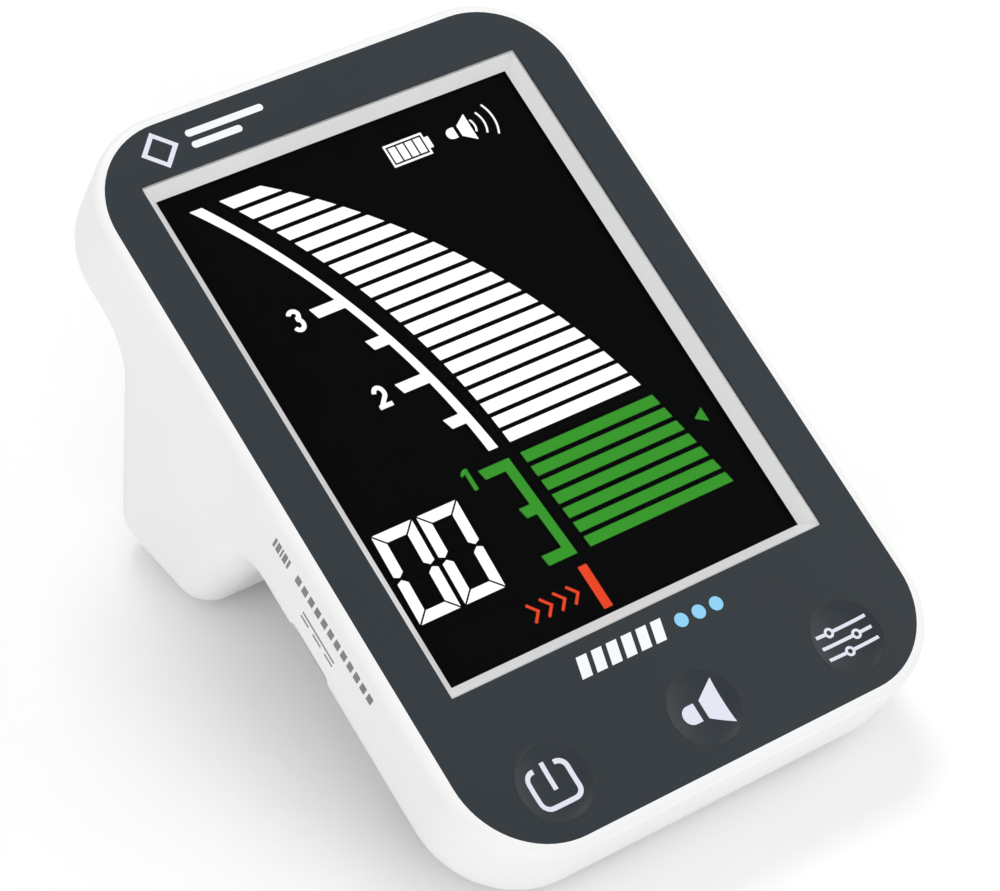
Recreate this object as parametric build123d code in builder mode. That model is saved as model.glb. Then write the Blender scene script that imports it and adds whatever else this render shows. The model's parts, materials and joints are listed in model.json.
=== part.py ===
from build123d import *

import os
from math import cos, radians, sin, sqrt, tan

# Apex locator: a desk display unit with a tilted front panel, a moulded rear shell that
# swells into a hollow foot, a segment display behind a bevelled window and three dished keys.
# Millimetres, +Z up, the user faces the panel along +Y. The origin is on the desk, under the
# middle of the unit. The panel frame has x to the right, y up the slope, z out of the panel,
# with its origin in the middle of the panel face.

os.makedirs("parts", exist_ok=True)

# ---- Driving dimensions: housing -------------------------------------------------------
tilt = 23.0                   # slope of the front panel above level
half_width = 43.7             # housing, middle to side
half_length = 65.0            # housing, middle to end, along the slope
case_depth = 18.8             # front face to back of the slab
corner_radius = 16.2          # housing corners seen from the front
edge_radius = 6.0             # all rounding at the back of the shell
rim_radius = 1.3              # rounding of the front edge
case_wall = 2.2               # rear shell
parting_depth = 3.0           # front face to the joint between the two shells
tongue_thickness = 1.0        # lip of the front shell inside the rear one
tongue_reach = 2.0            # past the parting line
shell_play = 0.15             # lip to rear shell

# ---- Foot ------------------------------------------------------------------------------
foot_front = -1.2             # up the slope from the middle, where it leaves the slab
foot_front_draft = 10.4       # its front face, from square to the panel
foot_rear = 43.8              # level distance from the middle of the panel to its rear face
pad_proud = 1.7               # rear rubber pads below the foot
front_pad_proud = 0.4         # front rubber strips below the slab's lower edge
foot_toe_radius = 6.4         # its two lower edges
foot_instep_radius = 4.5      # hollow corner between slab and foot front
foot_nape_radius = 6.5        # hollow corner between slab and foot rear

# ---- Front face ------------------------------------------------------------------------
film_margin = 1.7             # housing edge to overlay edge
film_thickness = 0.5
plate_thickness = 2.0         # front shell behind the overlay
side_band = 7.3               # overlay edge to its window, left and right
top_band = 8.95
key_band = 26.35              # below the window
window_land = 0.3             # ledge that the clear window rests on
bevel_width = 1.8             # sloped border between the ledge and the display
pane_play = 0.02              # clear window inside the overlay opening

# ---- Display ---------------------------------------------------------------------------
gasket_thickness = 0.5
gasket_width = 2.4
gasket_setback = 0.3          # from the bevel's inner edge
glass_border = 3.3            # glass beyond the visible area, each side
glass_thickness = 2.2
backlight_thickness = 3.0
tray_wall = 1.0
tray_floor = 1.2
tray_play = 0.2
tray_leg_diameter = 3.0
tray_leg_inset = 7.0          # from the tray's sides
tray_leg_up = 12.0            # from the tray's lower end
tray_leg_down = 5.0           # from the board's upper end
flex_width = 30.0
flex_thickness = 0.3
flex_reach = 2.6              # past the tray
flex_bend = 1.2
flex_slot_play = 0.5
connector_width = 33.0
connector_length = 3.0
connector_height = 2.0

# ---- Keys ------------------------------------------------------------------------------
key_side_inset = 14.4         # outer keys from the overlay's sides
key_end_inset = 10.6          # key line from the housing's lower end
cap_diameter = 12.0
cap_thickness = 1.2
dish_depth = 0.7              # hollow of a key's face
cap_play = 0.1                # cap to overlay
key_play = 0.35               # plunger to front shell
flange_diameter = 13.6
flange_thickness = 1.0
flange_gap = 0.3              # behind the front shell
key_stem_diameter = 4.0
key_travel = 0.3
switch_side = 6.0
switch_height = 3.5
switch_stem_diameter = 3.2
switch_stem_rise = 1.8        # above the switch body
switch_stem_seat = 1.2        # inside the switch body
switch_play = 0.2

# ---- Main board ------------------------------------------------------------------------
board_thickness = 1.6
board_gap = 2.4               # display tray to board
board_edge_gap = 1.0          # board to shell wall
board_speaker_gap = 3.1       # board's upper end to the speaker ring
post_diameter = 5.0
shelf_width = 8.0
shelf_length = 7.0
upper_screw_in = 4.5          # from the inside of the side wall
upper_screw_down = 6.0        # from the board's upper end
lower_screw_x = 13.8
lower_screw_end_inset = 8.0   # from the housing's lower end
notch_gap = 0.5               # board to the case posts
post_root = 0.2               # posts run this far into the floor
wall_root = 1.1               # shelves, ribs and frames run this far into a wall
chip_line = -32.0             # along the slope
processor_side = 10.0
processor_x = 10.0
measuring_side = 7.0
measuring_x = -10.0
chip_height = 1.4

# ---- Screws ----------------------------------------------------------------------------
screw_diameter = 1.9
screw_head_diameter = 3.6
screw_head_height = 1.2
screw_play = 0.1              # shank to its hole, on the diameter
head_play = 0.4               # head to its counterbore, on the diameter
clear_hole = 2.3
pilot_spare = 0.3             # hole past the end of a screw
cross_width = 0.6
cross_length = 2.2
cross_depth = 0.6
board_screw_length = 4.0
case_screw_length = 9.0
case_screw_grip = 4.0         # shell left under the head
door_screw_length = 5.0
boss_diameter = 4.6
case_post_diameter = 5.6
boss_meeting = 9.0            # depth where front bosses meet the rear posts
top_case_screw_x = 22.0
top_case_screw_inset = 5.0    # from the housing's upper end
low_case_screw_inset = 6.7    # from the housing's sides
low_case_screw_up = 20.5      # from the housing's lower end

# ---- Sockets ---------------------------------------------------------------------------
charge_up = -18.0             # charging opening, along the slope
charge_length = 11.0
charge_height = 3.3
charge_corner = 1.5
charge_body_length = 7.6
charge_body_height = 3.0
charge_body_depth = 6.0
charge_sheet = 0.35
charge_setback = 2.6          # mouth of the socket behind the side wall
charge_tongue_gap = 0.7       # tongue to the socket's sheet at its sides
charge_tongue_thickness = 0.7
probe_y = 16.5                # probe socket, level distance from the panel middle
probe_z = -14.0               # and height from the panel middle
probe_bore = 3.6
probe_mouth_diameter = 5.0    # wider mouth for the plug's shoulder
probe_mouth_past_wall = 0.3   # mouth reaches behind the side wall
probe_barrel_diameter = 6.0
probe_flange_diameter = 8.0
probe_flange_thickness = 0.8
probe_barrel_length = 14.0
probe_nut_diameter = 8.4
probe_nut_thickness = 2.0
socket_play = 0.15
plug_depth = 12.0             # how far the probe plug goes in
lead_diameter = 1.0

# ---- Battery ---------------------------------------------------------------------------
cell_diameter = 18.4
cell_length = 50.0
cell_z = -20.0                # height from the panel middle
cell_play = 0.3
cell_edge_radius = 0.7
contact_thickness = 0.6
cradle_wall = 1.4
cradle_gap = 0.2              # cradle to the frame around the door
contact_corner_gap = 1.0      # contact plate's corners to the cradle's bore
contact_tab_width = 4.0
tab_play = 0.15               # tab to its slot in the cradle
contact_tab_reach = 1.5       # in front of the cradle
door_width = 68.0
door_height = 22.5
door_thickness = 1.8
door_frame = 3.6              # wall around the door
door_frame_margin = 2.0
door_play = 0.15
door_opening_width = 54.0
door_opening_height = 19.4
door_screw_x = 30.5
door_boss_diameter = 4.8
rib_thickness = 2.0
rib_x = 18.0
rib_setback = 2.0             # inside the cradle's front and rear
plug_up = 8.0                 # battery plug, along the slope
header_width = 6.0
header_length = 3.0
header_height = 3.0
plug_inset = 0.2              # plug narrower than its header, each side
lead_drop = 4.0
lead_bend = 1.2
lead_spacing = 2.0

# ---- Speaker ---------------------------------------------------------------------------
speaker_end_inset = 13.5      # from the housing's upper end
speaker_diameter = 15.0
speaker_height = 3.5
speaker_rim = 1.2
speaker_play = 0.1
speaker_ring_wall = 0.8
speaker_ring_height = 2.0
sound_hole_diameter = 1.4
sound_ring_pitch = 2.6
speaker_lead_below = 0.7      # under the board
speaker_lead_in = 4.0         # from the board's edge
speaker_lead_diameter = 0.8
speaker_lead_bend = 0.5
cone_depth = 1.0
cone_thickness = 0.4
magnet_diameter = 9.0
magnet_height = 1.2

# ---- Rubber pads -----------------------------------------------------------------------
pad_diameter = 10.0
pad_recess = 0.5
pad_x = 30.0
strip_length = 14.0
strip_width = 3.4
strip_height = 1.4
strip_x = 19.0
pad_play = 0.1

# ---- Places worked out from the sizes above --------------------------------------------
slope_sin = sin(radians(tilt))
slope_cos = cos(radians(tilt))
far = 3 * case_depth          # longer than any cut through the slab
TINY = 0.001
DOWN = (Align.CENTER, Align.CENTER, Align.MAX)
UP = (Align.CENTER, Align.CENTER, Align.MIN)


def level_of(slope_y, out):
    """Level y and z, from the panel middle, of a point of the panel frame."""
    return slope_cos * slope_y - slope_sin * out, slope_sin * slope_y + slope_cos * out


def slope_of(level_y, level_z):
    """Panel-frame y and z of a point given level, from the panel middle."""
    return slope_cos * level_y + slope_sin * level_z, slope_cos * level_z - slope_sin * level_y


lower_edge = level_of(edge_radius - half_length, edge_radius - case_depth)
upper_edge = level_of(half_length - edge_radius, edge_radius - case_depth)
front_edge = level_of(rim_radius - half_length, -rim_radius)
rearmost = upper_edge[0] + edge_radius
foremost = front_edge[0] - rim_radius
desk = lower_edge[1] - edge_radius - front_pad_proud
middle_y = -(rearmost + foremost) / 2
middle_z = -desk

panel = Plane(origin=(0, middle_y, middle_z), x_dir=(1, 0, 0), z_dir=(0, -slope_sin, slope_cos))
side = Plane(origin=panel.origin, x_dir=panel.y_dir, z_dir=(1, 0, 0))

plate_back = film_thickness + plate_thickness
glass_front = plate_back + gasket_thickness
backlight_front = glass_front + glass_thickness
tray_front = backlight_front + backlight_thickness
board_front = tray_front + tray_floor + board_gap
board_back = board_front + board_thickness
floor_depth = case_depth - case_wall
film_half_width = half_width - film_margin
film_half_length = half_length - film_margin
inner_half_width = half_width - case_wall
window_width = 2 * (film_half_width - side_band)
window_height = 2 * film_half_length - top_band - key_band
window_up = (key_band - top_band) / 2
visible_width = window_width - 2 * (window_land + bevel_width)
visible_height = window_height - 2 * (window_land + bevel_width)
glass_width = visible_width + 2 * glass_border
glass_height = visible_height + 2 * glass_border
tray_width = glass_width + 2 * (tray_play + tray_wall)
tray_height = glass_height + 2 * (tray_play + tray_wall)
key_below = half_length - key_end_inset
key_spacing = film_half_width - key_side_inset
key_places = {"power": -key_spacing, "volume": 0.0, "set": key_spacing}
speaker_up = half_length - speaker_end_inset
speaker_ring_radius = speaker_diameter / 2 + speaker_play + speaker_ring_wall
board_top = speaker_up - speaker_ring_radius - board_speaker_gap
upper_screw_x = inner_half_width - upper_screw_in
upper_screw_y = board_top - upper_screw_down
lower_screw_y = lower_screw_end_inset - half_length
upper_screws = [(-upper_screw_x, upper_screw_y), (upper_screw_x, upper_screw_y)]
lower_screws = [(-lower_screw_x, lower_screw_y), (lower_screw_x, lower_screw_y)]
board_screw_places = lower_screws + upper_screws
top_case_screw_y = half_length - top_case_screw_inset
low_case_screw_x = half_width - low_case_screw_inset
low_case_screw_y = low_case_screw_up - half_length
case_screw_places = [
    (-top_case_screw_x, top_case_screw_y),
    (top_case_screw_x, top_case_screw_y),
    (-low_case_screw_x, low_case_screw_y),
    (low_case_screw_x, low_case_screw_y),
]


def at_depth(depth):
    """Plane square to the panel frame, a depth behind the panel face."""
    return panel.offset(-depth)


def slab_outline(inset, mode=Mode.ADD):
    """Rounded outline of the housing from the front, drawn in by an inset."""
    RectangleRounded(
        2 * (half_width - inset), 2 * (half_length - inset), corner_radius - inset, mode=mode
    )


def save(part, name):
    """Label a finished piece and write its file."""
    part.label = name
    export_step(part, f"parts/{name}.step")


# ---- Housing form ----------------------------------------------------------------------
# The foot's front face runs down from (foot_front, -case_depth) at its draft to the sole.
sole_z = desk + pad_proud
draft_run = tan(radians(foot_front_draft))
toe_out = (sole_z - slope_sin * (foot_front - draft_run * case_depth)) / (
    slope_cos - slope_sin * draft_run
)
toe_up = foot_front - draft_run * (toe_out + case_depth)
heel = slope_of(foot_rear, sole_z)
nape_up = (foot_rear - slope_sin * case_depth) / slope_cos
foot_corners = [
    ((foot_front, -case_depth), foot_instep_radius),
    ((toe_up, toe_out), foot_toe_radius),
    (heel, foot_toe_radius),
    ((nape_up, -case_depth), foot_nape_radius),
]


def is_wall(face):
    """True for a face that stands square to the panel: a side, an end or a corner."""
    return abs(face.normal_at(face.center()).dot(panel.z_dir)) < TINY


def runs_along_wall(edge):
    """True for an edge that isn't one of the upright lines between two wall faces."""
    return (edge @ 1 - edge @ 0).cross(panel.z_dir).length > TINY


def shell_form(inset):
    """Solid of slab and foot behind the parting line, all faces drawn in by an inset."""
    with BuildPart() as form:
        with BuildSketch(side) as profile:
            with BuildLine():
                Polyline(
                    (-half_length, far),
                    (-half_length, -case_depth),
                    *[corner for corner, radius in foot_corners],
                    (half_length, -case_depth),
                    (half_length, far),
                    close=True,
                )
            make_face()
            for corner, radius in foot_corners:
                fillet(profile.vertices().sort_by_distance(corner)[0], radius)
            if inset:
                offset(amount=-inset)
        extrude(amount=half_width - inset, both=True)
        with BuildSketch(at_depth(parting_depth)):
            slab_outline(inset)
        extrude(amount=-far, mode=Mode.INTERSECT)
        rear_edges = ShapeList(
            edge
            for face in form.faces().filter_by(is_wall)
            for edge in face.edges().filter_by(runs_along_wall)
            if panel.to_local_coords(edge.center()).Z < -parting_depth - TINY
        )
        fillet(rear_edges, edge_radius - inset)
    return form.part


# ---- Front shell -----------------------------------------------------------------------
tongue_inset = case_wall + shell_play
tongue_depth = parting_depth + tongue_reach
screw_seat = boss_meeting + case_screw_grip
pilot_depth = screw_seat - case_screw_length - pilot_spare

with BuildPart(panel) as front_shell:
    with BuildSketch(panel):
        slab_outline(0)
    extrude(amount=-parting_depth)
    fillet(front_shell.faces().sort_by(Axis(panel.origin, panel.z_dir))[-1].edges(), rim_radius)
    with BuildSketch(panel):
        slab_outline(film_margin)
    extrude(amount=-film_thickness, mode=Mode.SUBTRACT)
    with BuildSketch(at_depth(plate_back)):
        slab_outline(case_wall)
    extrude(amount=plate_back - parting_depth, mode=Mode.SUBTRACT)
    with BuildSketch(at_depth(plate_back)):
        slab_outline(tongue_inset)
        slab_outline(tongue_inset + tongue_thickness, mode=Mode.SUBTRACT)
    extrude(amount=plate_back - tongue_depth)
    with BuildSketch(at_depth(film_thickness)):
        with Locations((0, window_up)):
            Rectangle(window_width - 2 * window_land, window_height - 2 * window_land)
    with BuildSketch(at_depth(plate_back)):
        with Locations((0, window_up)):
            Rectangle(visible_width, visible_height)
    loft(mode=Mode.SUBTRACT)
    with Locations(*[(x, -key_below, -film_thickness) for x in key_places.values()]):
        Cylinder(cap_diameter / 2 + key_play, plate_thickness, align=DOWN, mode=Mode.SUBTRACT)
    with Locations(*[(x, y, -plate_back) for x, y in case_screw_places]):
        Cylinder(boss_diameter / 2, boss_meeting - plate_back, align=DOWN)
    with Locations(*[(x, y, -boss_meeting) for x, y in case_screw_places]):
        Cylinder(
            (screw_diameter + screw_play) / 2,
            boss_meeting - pilot_depth,
            align=UP,
            mode=Mode.SUBTRACT,
        )
save(front_shell.part, "front_shell")

# ---- Rear shell ------------------------------------------------------------------------
rear_face = Plane(
    origin=(0, middle_y + foot_rear, middle_z + cell_z), x_dir=(-1, 0, 0), z_dir=(0, 1, 0)
)
right_side = Plane(
    origin=(half_width, middle_y + probe_y, middle_z + probe_z), x_dir=(0, 1, 0), z_dir=(1, 0, 0)
)
left_side = side.offset(-half_width)
floor = Plane.XY
charge_middle = board_back + charge_body_height / 2
cradle_rear = foot_rear - door_frame - cradle_gap
cell_y = cradle_rear - cell_play - cell_diameter / 2
cradle_half_height = cell_diameter / 2 + cell_play + cradle_wall
cradle_front = cell_y - cradle_half_height
cradle_width = cell_length + 2 * (contact_thickness + cradle_wall)
pad_y = middle_y + (level_of(toe_up, toe_out)[0] + foot_rear) / 2
strip_y = middle_y + lower_edge[0]
rear_pad_places = {"left": -pad_x, "right": pad_x}
strip_places = {"left": -strip_x, "right": strip_x}
board_pilot = board_screw_length - board_thickness + pilot_spare
shelf_middle = inner_half_width + (wall_root - shelf_width) / 2
outer_form = shell_form(0)
inner_form = shell_form(case_wall)

with BuildPart() as rear_shell:
    add(outer_form)
    add(inner_form, mode=Mode.SUBTRACT)
    # Posts for the case screws and for the board, and the two shelves above the foot.
    with BuildSketch(at_depth(boss_meeting)):
        with Locations(*case_screw_places):
            Circle(case_post_diameter / 2)
    extrude(amount=boss_meeting - floor_depth - post_root)
    with BuildSketch(at_depth(board_back)):
        with Locations(*lower_screws):
            Circle(post_diameter / 2)
        with Locations((-shelf_middle, upper_screw_y), (shelf_middle, upper_screw_y)):
            Rectangle(shelf_width + wall_root, shelf_length)
    extrude(amount=board_back - floor_depth - post_root)
    # Ring that holds the speaker over its sound holes.
    with BuildSketch(at_depth(floor_depth + post_root)):
        with Locations((0, speaker_up)):
            Circle(speaker_ring_radius)
            Circle(speaker_diameter / 2 + speaker_play, mode=Mode.SUBTRACT)
    extrude(amount=speaker_ring_height + post_root)
    # Thicker wall around the battery door, with two screw bosses.
    with BuildSketch(rear_face.offset(wall_root - case_wall)):
        Rectangle(door_width + 2 * door_frame_margin, door_height + 2 * door_frame_margin)
    extrude(amount=case_wall - wall_root - door_frame)
    with BuildSketch(rear_face.offset(wall_root - case_wall)):
        with Locations((-door_screw_x, 0), (door_screw_x, 0)):
            Circle(door_boss_diameter / 2)
    extrude(amount=case_wall - wall_root - door_thickness - door_screw_length)
    # Ribs on the sole that carry the battery cradle.
    with BuildSketch(floor.offset(middle_z + cell_z - cradle_half_height)):
        with Locations(*[(x, middle_y + cell_y) for x in (-rib_x, rib_x)]):
            Rectangle(rib_thickness, 2 * (cradle_half_height - rib_setback))
    extrude(amount=sole_z + case_wall - wall_root - cell_z + cradle_half_height)
    # Holes for the screws.
    with BuildSketch(at_depth(boss_meeting)):
        with Locations(*case_screw_places):
            Circle(clear_hole / 2)
    extrude(amount=-case_screw_grip, mode=Mode.SUBTRACT)
    with BuildSketch(at_depth(screw_seat)):
        with Locations(*case_screw_places):
            Circle((screw_head_diameter + head_play) / 2)
    extrude(amount=-far, mode=Mode.SUBTRACT)
    with BuildSketch(at_depth(board_back)):
        with Locations(*board_screw_places):
            Circle((screw_diameter + screw_play) / 2)
    extrude(amount=-board_pilot, mode=Mode.SUBTRACT)
    # Sound holes.
    with BuildSketch(at_depth(floor_depth - post_root)):
        with Locations((0, speaker_up)):
            Circle(sound_hole_diameter / 2)
            for ring in (1, 2):
                with PolarLocations(ring * sound_ring_pitch, 6 * ring):
                    Circle(sound_hole_diameter / 2)
    extrude(amount=-far, mode=Mode.SUBTRACT)
    # Charging opening in the left wall.
    with BuildSketch(left_side):
        with Locations((charge_up, -charge_middle)):
            RectangleRounded(charge_length, charge_height, charge_corner)
    extrude(amount=charge_setback + charge_body_depth, mode=Mode.SUBTRACT)
    # Probe socket: a hole through the right wall with a shallow seat for the flange.
    with BuildSketch(right_side):
        Circle(probe_barrel_diameter / 2 + socket_play)
    extrude(amount=-2 * case_wall, mode=Mode.SUBTRACT)
    with BuildSketch(right_side):
        Circle(probe_flange_diameter / 2 + socket_play)
    extrude(amount=-probe_flange_thickness, mode=Mode.SUBTRACT)
    # Battery door: seat, opening and screw holes.
    with BuildSketch(rear_face):
        Rectangle(door_width + 2 * door_play, door_height + 2 * door_play)
    extrude(amount=-door_thickness, mode=Mode.SUBTRACT)
    with BuildSketch(rear_face):
        Rectangle(door_opening_width, door_opening_height)
    extrude(amount=-2 * door_frame, mode=Mode.SUBTRACT)
    with BuildSketch(rear_face.offset(-door_thickness)):
        with Locations((-door_screw_x, 0), (door_screw_x, 0)):
            Circle((screw_diameter + screw_play) / 2)
    extrude(amount=-door_screw_length + pilot_spare, mode=Mode.SUBTRACT)
    # Seats for the rubber pads under the foot and the strips under the slab's lower edge.
    with BuildSketch(floor.offset(pad_proud)):
        with Locations(*[(x, pad_y) for x in rear_pad_places.values()]):
            Circle(pad_diameter / 2 + pad_play)
    extrude(amount=pad_recess, mode=Mode.SUBTRACT)
    with BuildSketch(floor):
        with Locations(*[(x, strip_y) for x in strip_places.values()]):
            Rectangle(strip_length + 2 * pad_play, strip_width + 2 * pad_play)
    extrude(amount=strip_height, mode=Mode.SUBTRACT)
save(rear_shell.part, "rear_shell")

with BuildPart(rear_face) as battery_door:
    with BuildSketch(rear_face):
        Rectangle(door_width, door_height)
    extrude(amount=-door_thickness)
    with Locations((-door_screw_x, 0, 0), (door_screw_x, 0, 0)):
        CounterBoreHole(
            clear_hole / 2, (screw_head_diameter + head_play) / 2, screw_head_height, door_thickness
        )
save(battery_door.part, "battery_door")


def cross_screws(length, head_side, shank_side):
    """Cross-head screws in the places and the plane of the surrounding block."""
    sign = 1 if head_side is UP else -1
    Cylinder(screw_diameter / 2, length, align=shank_side)
    Cylinder(screw_head_diameter / 2, screw_head_height, align=head_side)
    with Locations((0, 0, sign * screw_head_height)):
        Box(cross_length, cross_width, cross_depth, align=shank_side, mode=Mode.SUBTRACT)
        Box(cross_width, cross_length, cross_depth, align=shank_side, mode=Mode.SUBTRACT)


with BuildPart(at_depth(screw_seat)) as case_screws:
    with Locations(*[(x, y, 0) for x, y in case_screw_places]):
        cross_screws(case_screw_length, DOWN, UP)
save(case_screws.part, "case_screws")

with BuildPart(rear_face.offset(-screw_head_height)) as door_screws:
    with Locations((-door_screw_x, 0, 0), (door_screw_x, 0, 0)):
        cross_screws(door_screw_length, UP, DOWN)
save(door_screws.part, "door_screws")

for where, x in rear_pad_places.items():
    with BuildPart() as rear_pad:
        with BuildSketch(floor):
            with Locations((x, pad_y)):
                Circle(pad_diameter / 2)
        extrude(amount=pad_proud + pad_recess)
    save(rear_pad.part, f"{where}_rear_pad")

for where, x in strip_places.items():
    with BuildPart() as front_strip:
        with BuildSketch(floor):
            with Locations((x, strip_y)):
                Rectangle(strip_length, strip_width)
        extrude(amount=strip_height)
    save(front_strip.part, f"{where}_front_strip")

# ---- Front face ------------------------------------------------------------------------
with BuildPart() as overlay_film:
    with BuildSketch(panel):
        slab_outline(film_margin)
        with Locations((0, window_up)):
            Rectangle(window_width, window_height, mode=Mode.SUBTRACT)
        with Locations(*[(x, -key_below) for x in key_places.values()]):
            Circle(cap_diameter / 2 + cap_play, mode=Mode.SUBTRACT)
    extrude(amount=-film_thickness)
save(overlay_film.part, "overlay_film")

with BuildPart() as display_window:
    with BuildSketch(panel):
        with Locations((0, window_up)):
            Rectangle(window_width - 2 * pane_play, window_height - 2 * pane_play)
    extrude(amount=-film_thickness)
save(display_window.part, "display_window")

# ---- Display ---------------------------------------------------------------------------
window_middle = (0, window_up)
display_bottom = window_up - tray_height / 2

with BuildPart() as display_gasket:
    with BuildSketch(at_depth(plate_back)):
        with Locations(window_middle):
            inner_width = visible_width + 2 * gasket_setback
            inner_height = visible_height + 2 * gasket_setback
            Rectangle(inner_width + 2 * gasket_width, inner_height + 2 * gasket_width)
            Rectangle(inner_width, inner_height, mode=Mode.SUBTRACT)
    extrude(amount=-gasket_thickness)
save(display_gasket.part, "display_gasket")

with BuildPart() as lcd_glass:
    with BuildSketch(at_depth(glass_front)):
        with Locations(window_middle):
            Rectangle(glass_width, glass_height)
    extrude(amount=-glass_thickness)
save(lcd_glass.part, "lcd_glass")

with BuildPart() as backlight:
    with BuildSketch(at_depth(backlight_front)):
        with Locations(window_middle):
            Rectangle(glass_width, glass_height)
    extrude(amount=-backlight_thickness)
save(backlight.part, "backlight")

flex_depth = glass_front + glass_thickness / 2
flex_turn = display_bottom - flex_reach

with BuildPart(panel) as display_tray:
    with BuildSketch(at_depth(glass_front)):
        with Locations(window_middle):
            Rectangle(tray_width, tray_height)
    extrude(amount=glass_front - tray_front - tray_floor)
    with BuildSketch(at_depth(glass_front)):
        with Locations(window_middle):
            Rectangle(tray_width - 2 * tray_wall, tray_height - 2 * tray_wall)
    extrude(amount=glass_front - tray_front, mode=Mode.SUBTRACT)
    with Locations((0, display_bottom, -glass_front)):
        Box(
            flex_width + 2 * flex_slot_play,
            2 * (tray_wall + tray_play),
            glass_thickness,
            align=DOWN,
            mode=Mode.SUBTRACT,
        )
    leg_places = [
        (x, y, -tray_front - tray_floor)
        for x in (tray_leg_inset - tray_width / 2, tray_width / 2 - tray_leg_inset)
        for y in (display_bottom + tray_leg_up, board_top - tray_leg_down)
    ]
    with Locations(*leg_places):
        Cylinder(tray_leg_diameter / 2, board_gap, align=DOWN)
save(display_tray.part, "display_tray")

with BuildPart() as display_flex:
    with BuildSketch(side):
        with BuildLine():
            FilletPolyline(
                (window_up - glass_height / 2, -flex_depth),
                (flex_turn, -flex_depth),
                (flex_turn, connector_height - board_front),
                radius=flex_bend,
            )
        trace(line_width=flex_thickness)
    extrude(amount=flex_width / 2, both=True)
save(display_flex.part, "display_flex")

# ---- Main board and what stands on it --------------------------------------------------
board_inset = case_wall + board_edge_gap

with BuildPart(panel) as main_board:
    with BuildSketch(at_depth(board_front)):
        slab_outline(board_inset)
        with Locations((0, board_top)):
            Rectangle(
                2 * half_width,
                half_length,
                align=(Align.CENTER, Align.MIN),
                mode=Mode.SUBTRACT,
            )
        with Locations(*case_screw_places):
            Circle(case_post_diameter / 2 + notch_gap, mode=Mode.SUBTRACT)
        with Locations(*board_screw_places):
            Circle(clear_hole / 2, mode=Mode.SUBTRACT)
    extrude(amount=-board_thickness)
save(main_board.part, "main_board")

with BuildPart(at_depth(board_front)) as board_screws:
    with Locations(*[(x, y, 0) for x, y in board_screw_places]):
        cross_screws(board_screw_length, UP, DOWN)
save(board_screws.part, "board_screws")

with BuildPart(at_depth(board_front)) as flex_connector:
    with Locations((0, flex_turn, 0)):
        Box(connector_width, connector_length, connector_height, align=UP)
save(flex_connector.part, "flex_connector")

for chip, side_length, x in (
    ("processor_chip", processor_side, processor_x),
    ("measuring_chip", measuring_side, measuring_x),
):
    with BuildPart(at_depth(board_back)) as package:
        with Locations((x, chip_line, 0)):
            Box(side_length, side_length, chip_height, align=DOWN)
    save(package.part, chip)

# ---- Keys ------------------------------------------------------------------------------
plunger_tip = board_front - switch_height - switch_stem_rise
stem_foot = board_front - switch_height + switch_stem_seat
flange_depth = plate_back + flange_gap
cap_radius = cap_diameter / 2
dish_radius = (cap_radius**2 + dish_depth**2) / (2 * dish_depth)

for key, x in key_places.items():
    key_middle = panel.from_local_coords(Vector(x, -key_below, 0))
    key_axis = Plane(origin=key_middle, x_dir=panel.x_dir, z_dir=panel.z_dir)
    key_section = Plane(origin=key_middle, x_dir=panel.x_dir, z_dir=-panel.y_dir)

    with BuildPart() as key_cap:
        with BuildSketch(key_section):
            with BuildLine():
                Polyline(
                    (0, -dish_depth),
                    (0, -cap_thickness),
                    (cap_radius, -cap_thickness),
                    (cap_radius, 0),
                )
                RadiusArc((cap_radius, 0), (0, -dish_depth), dish_radius)
            make_face()
        revolve(axis=Axis(key_middle, panel.z_dir))
    save(key_cap.part, f"{key}_key_cap")

    with BuildPart(key_axis) as plunger:
        with Locations((0, 0, -cap_thickness)):
            Cylinder(cap_radius, flange_depth - cap_thickness, align=DOWN)
        with Locations((0, 0, -flange_depth)):
            Cylinder(flange_diameter / 2, flange_thickness, align=DOWN)
            Cylinder(key_stem_diameter / 2, plunger_tip - flange_depth, align=DOWN)
    save(plunger.part, f"{key}_key_plunger")

    with BuildPart(key_axis) as switch:
        with Locations((0, 0, -board_front)):
            Box(switch_side, switch_side, switch_height, align=UP)
        with Locations((0, 0, switch_height - board_front)):
            Cylinder(
                switch_stem_diameter / 2 + switch_play,
                switch_stem_seat + key_travel + switch_play,
                align=DOWN,
                mode=Mode.SUBTRACT,
            )
    save(switch.part, f"{key}_switch")

    with BuildPart(key_axis) as switch_stem:
        with Locations((0, 0, -plunger_tip)):
            Cylinder(switch_stem_diameter / 2, stem_foot - plunger_tip, align=DOWN)
    save(switch_stem.part, f"{key}_switch_stem")

# ---- Sockets ---------------------------------------------------------------------------
charge_mouth = side.offset(charge_setback - half_width)
charge_tongue_width = charge_body_length - 2 * (charge_sheet + charge_tongue_gap)

with BuildPart() as charging_socket:
    with BuildSketch(charge_mouth):
        with Locations((charge_up, -charge_middle)):
            Rectangle(charge_body_length, charge_body_height)
    extrude(amount=charge_body_depth)
    with BuildSketch(charge_mouth):
        with Locations((charge_up, -charge_middle)):
            Rectangle(charge_body_length - 2 * charge_sheet, charge_body_height - 2 * charge_sheet)
    extrude(amount=charge_body_depth - charge_sheet, mode=Mode.SUBTRACT)
save(charging_socket.part, "charging_socket")

with BuildPart() as charging_tongue:
    with BuildSketch(charge_mouth.offset(charge_sheet)):
        with Locations((charge_up, -charge_middle)):
            Rectangle(charge_tongue_width, charge_tongue_thickness)
    extrude(amount=charge_body_depth - 2 * charge_sheet)
save(charging_tongue.part, "charging_tongue")

probe_mouth_depth = case_wall + probe_mouth_past_wall

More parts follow.
